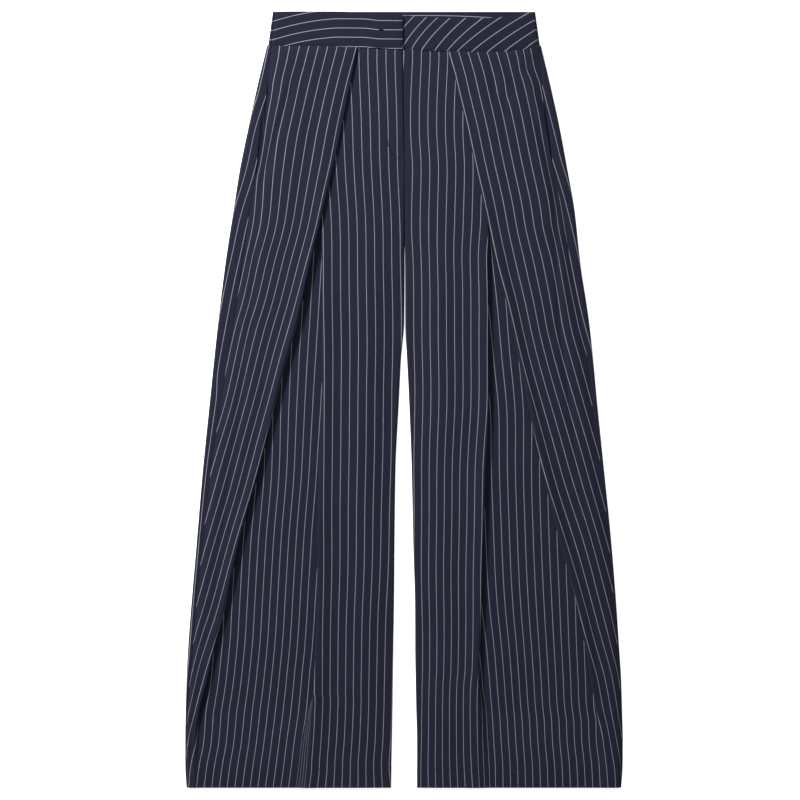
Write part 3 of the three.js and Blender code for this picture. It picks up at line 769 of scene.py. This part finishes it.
def stitch_line(name, piece, marks, stitch, gap, radius):
    marks = np.array([((px - CENTRE_PX) * PX, LENGTH / 2 - (py - TOP_PX) * PX) for px, py in marks])
    along = np.concatenate([[0], np.cumsum(np.hypot(*np.diff(marks, axis=0).T))])
    bpy.ops.object.select_all(action="DESELECT")
    beads = []
    at = 0
    while at + stitch < along[-1]:
        a = [np.interp(at, along, marks[:, k]) for k in (0, 1)]
        b = [np.interp(at + stitch, along, marks[:, k]) for k in (0, 1)]
        middle = [(a[k] + b[k]) / 2 for k in (0, 1)]
        z = surface_height(piece, *middle)
        bpy.ops.mesh.primitive_uv_sphere_add(segments=8, ring_count=6, radius=radius * MM)
        bead = bpy.context.object
        bead.scale = (stitch / 2 / radius, 1, 0.8)
        bead.rotation_euler = (0, 0, math.atan2(b[1] - a[1], b[0] - a[0]))
        bead.location = (middle[0] * MM, middle[1] * MM, (z + 0.4 * radius) * MM)
        beads.append(bead)
        at += stitch + gap
    bpy.ops.object.select_all(action="DESELECT")
    for bead in beads:
        bead.select_set(True)
    bpy.context.view_layer.objects.active = beads[0]
    bpy.ops.object.transform_apply(location=True, rotation=True, scale=True)
    bpy.ops.object.join()
    row = bpy.context.object
    row.name = name
    bpy.ops.object.shade_smooth()
    print(name, "stitches:", len(beads))
    return row


fly_stitch = stitch_line("fly_stitch", front_pieces["right"], [
    (387, 118), (387.4, 136), (388, 145), (391, 153), (397, 158.5), (402, 159.5)], 2.4, 0.4, 0.6)
hook_tack = stitch_line("hook_tack", band_pieces["right"], [(378.8, 30.3), (384.6, 30.7)], 2.8, 0.2, 1.2)
hem_pricks = {
    "right": stitch_line("hem_pricks_right", front_pieces["right"], [
        (192, 768), (240, 767.5), (300, 768), (340, 768), (388, 768)], 1.1, 5.2, 0.36),
    "left": stitch_line("hem_pricks_left", front_pieces["left"], [
        (420, 768), (470, 767.5), (530, 768), (570, 768), (616, 768)], 1.1, 5.4, 0.36),
}

# %% [markdown]
# ## Striped suiting
# The cloth is dark navy worsted with thin pale stripes. The stripe is found from the stripe
# number in the UV map: close to a whole number the colour is pale. A fine twill in the bump and
# a slow change of tone keep it from looking like paper. The stripe is a chain of short pale
# threads, so it is lighter and darker along its length.

# %% Suiting material
# Lengths of the weave in metres: one pale thread of a stripe, and the twill each way.
STRIPE_THREAD = 0.0016
TWILL_ACROSS = 0.0007
TWILL_DOWN = 0.0009


def link_math(nodes, links, operation, first, second=None, third=None):
    node = nodes.new("ShaderNodeMath")
    node.operation = operation
    for socket, value in zip(node.inputs, (first, second, third)):
        if value is None:
            continue
        if isinstance(value, (int, float)):
            socket.default_value = value
        else:
            links.new(value, socket)
    return node.outputs[0]


def suiting(name, base, stripe, stripe_width=0.8):
    material = bpy.data.materials.new(name)
    material.use_nodes = True
    nodes, links = material.node_tree.nodes, material.node_tree.links
    shader = nodes["Principled BSDF"]
    uv = nodes.new("ShaderNodeUVMap")
    uv.uv_map = "cloth"
    parts = nodes.new("ShaderNodeSeparateXYZ")
    links.new(uv.outputs[0], parts.inputs[0])
    across, down = parts.outputs[0], parts.outputs[1]

    def calc(*args):
        return link_math(nodes, links, *args)

    number = calc("DIVIDE", across, STRIPE_PITCH * MM)
    away = calc("ABSOLUTE", calc("SUBTRACT", number, calc("ROUND", number)))
    away = calc("MULTIPLY", away, STRIPE_PITCH / (stripe_width / 2))
    mask = nodes.new("ShaderNodeMapRange")
    mask.interpolation_type = "SMOOTHSTEP"
    mask.inputs["From Min"].default_value = 0.55
    mask.inputs["From Max"].default_value = 1.25
    mask.inputs["To Min"].default_value = 1
    mask.inputs["To Max"].default_value = 0
    links.new(away, mask.inputs["Value"])
    beads = calc("SINE", calc("MULTIPLY", down, 2 * math.pi / STRIPE_THREAD))
    beads = calc("MULTIPLY_ADD", beads, 0.1, 0.86)
    stripe_mask = calc("MULTIPLY", mask.outputs[0], beads)

    tone = nodes.new("ShaderNodeTexNoise")
    tone.inputs["Scale"].default_value = 9
    tone.inputs["Detail"].default_value = 3
    links.new(uv.outputs[0], tone.inputs["Vector"])
    fibres = nodes.new("ShaderNodeTexNoise")
    fibres.inputs["Scale"].default_value = 900
    fibres.inputs["Detail"].default_value = 2
    links.new(uv.outputs[0], fibres.inputs["Vector"])
    value = calc("ADD", calc("MULTIPLY_ADD", tone.outputs[0], 0.16, -0.08),
                 calc("MULTIPLY_ADD", fibres.outputs[0], 0.3, 0.85))
    dyed = nodes.new("ShaderNodeHueSaturation")
    dyed.inputs["Color"].default_value = (*base, 1)
    links.new(value, dyed.inputs["Value"])
    colour = nodes.new("ShaderNodeMix")
    colour.data_type = "RGBA"
    links.new(stripe_mask, colour.inputs["Factor"])
    links.new(dyed.outputs[0], colour.inputs["A"])
    colour.inputs["B"].default_value = (*stripe, 1)
    links.new(colour.outputs["Result"], shader.inputs["Base Color"])

    twill = calc("ADD", calc("MULTIPLY", across, 2 * math.pi / TWILL_ACROSS),
                 calc("MULTIPLY", down, 2 * math.pi / TWILL_DOWN))
    height = calc("ADD", calc("SINE", twill), calc("MULTIPLY", fibres.outputs[0], 1.5))
    bump = nodes.new("ShaderNodeBump")
    bump.inputs["Strength"].default_value = 0.35
    bump.inputs["Distance"].default_value = 0.00012
    links.new(height, bump.inputs["Height"])
    links.new(bump.outputs[0], shader.inputs["Normal"])
    rough = calc("MULTIPLY_ADD", fibres.outputs[0], 0.16, 0.72)
    links.new(rough, shader.inputs["Roughness"])
    shader.inputs["Specular IOR Level"].default_value = 0.1
    shader.inputs["Sheen Weight"].default_value = 0.02
    shader.inputs["Sheen Roughness"].default_value = 0.5
    print("material:", name)
    return material


NAVY = (0.0122, 0.0132, 0.0275)
PALE = (0.285, 0.29, 0.34)
navy_suiting = suiting("navy_pinstripe", NAVY, PALE)
band_suiting = suiting("navy_pinstripe_band", (0.0114, 0.0123, 0.0257), PALE, 0.9)
# Painted shade: the pocket strips get a much darker navy and dim stripes, standing in for the shadow in
# the gap.
pocket_painted_shade_suiting = suiting("navy_pocket_painted_shade", (0.006, 0.007, 0.015), (0.03, 0.03, 0.04))

thread = bpy.data.materials.new("navy_thread")
thread.use_nodes = True
twist = thread.node_tree.nodes.new("ShaderNodeTexWave")
twist.inputs["Scale"].default_value = 1500
place = thread.node_tree.nodes.new("ShaderNodeTexCoord")
ramp = thread.node_tree.nodes.new("ShaderNodeValToRGB")
ramp.color_ramp.elements[0].color = (0.004, 0.004, 0.009, 1)
ramp.color_ramp.elements[1].color = (0.012, 0.013, 0.024, 1)
thread.node_tree.links.new(place.outputs["Object"], twist.inputs["Vector"])
thread.node_tree.links.new(twist.outputs[0], ramp.inputs[0])
thread_shader = thread.node_tree.nodes["Principled BSDF"]
thread.node_tree.links.new(ramp.outputs[0], thread_shader.inputs["Base Color"])
thread_shader.inputs["Roughness"].default_value = 0.9
thread_shader.inputs["Specular IOR Level"].default_value = 0.05

# %% [markdown]
# ## Each piece to its body
# Every piece rides on the one body. Each cloth panel takes the place of its solid, which is
# hidden, and gets its material.


def finish_piece(piece, node, material):
    piece.data.materials.clear()
    piece.data.materials.append(material)
    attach(piece, "root")
    if node:
        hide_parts(node)


for side in SIGNS:
    finish_piece(front_pieces[side], f"front_leg_{side}", navy_suiting)
    finish_piece(back_pieces[side], f"back_leg_{side}", navy_suiting)
    finish_piece(band_pieces[side], f"waistband_front_{side}", band_suiting)
    finish_piece(facing_pieces[side], f"pocket_facing_{side}", pocket_painted_shade_suiting)
    finish_piece(hem_pricks[side], None, thread)
finish_piece(band_pieces["back"], "waistband_back", band_suiting)
for piece in (fly_stitch, hook_tack):
    finish_piece(piece, None, thread)


# %% [markdown]
# ## The setting
# The garment lies on a plain pale floor, seen from straight above through a long lens. A large
# soft light stands at the upper left, so each fold's left edge is lit and its right side shades.

# %% Floor, light and camera
bpy.ops.mesh.primitive_plane_add(size=12, location=(0, 0, -0.0002))
floor = bpy.context.object
floor.name = "floor"
paper = bpy.data.materials.new("pale_floor")
paper.use_nodes = True
paper_shader = paper.node_tree.nodes["Principled BSDF"]
paper_shader.inputs["Base Color"].default_value = (0.9, 0.9, 0.9, 1)
paper_shader.inputs["Roughness"].default_value = 0.9
paper_shader.inputs["Emission Color"].default_value = (1, 1, 1, 1)
paper_shader.inputs["Emission Strength"].default_value = 0.8
floor.data.materials.append(paper)


def soft_light(name, place, aim, power, size):
    light = bpy.data.lights.new(name, "AREA")
    light.shape = "DISK"
    light.energy = power
    light.size = size
    lamp = bpy.data.objects.new(name, light)
    bpy.context.scene.collection.objects.link(lamp)
    lamp.location = place
    way = np.array(aim) - np.array(place)
    lamp.rotation_euler = (math.atan2(math.hypot(way[0], way[1]), -way[2]), 0,
                           math.atan2(way[1], way[0]) - math.pi / 2)


soft_light("key_upper_left", (-2.0, 1.6, 1.7), (0, 0.1, 0), 155, 0.6)
soft_light("fill_above", (0.5, 1.4, 3.0), (0, 0, 0), 26, 2.0)
world = bpy.data.worlds.new("studio")
world.use_nodes = True
world.node_tree.nodes["Background"].inputs[0].default_value = (1, 1, 1, 1)
world.node_tree.nodes["Background"].inputs[1].default_value = 0.22
bpy.context.scene.world = world
bpy.context.scene.view_settings.view_transform = "Standard"
bpy.context.scene.view_settings.look = "None"

CAMERA_HEIGHT = 4.0
MIDDLE_PX = 400
SENSOR_WIDTH = 36
FRAME_WIDTH = 2 * MIDDLE_PX * PX * MM
camera_data = bpy.data.cameras.new("camera")
camera_data.sensor_width = SENSOR_WIDTH
camera_data.lens = SENSOR_WIDTH * CAMERA_HEIGHT / FRAME_WIDTH
camera = bpy.data.objects.new("camera", camera_data)
bpy.context.scene.collection.objects.link(camera)
camera_x = (MIDDLE_PX - CENTRE_PX) * PX
camera_y = LENGTH / 2 - (MIDDLE_PX - TOP_PX) * PX
camera.location = (camera_x * MM, camera_y * MM, CAMERA_HEIGHT)
bpy.context.scene.camera = camera
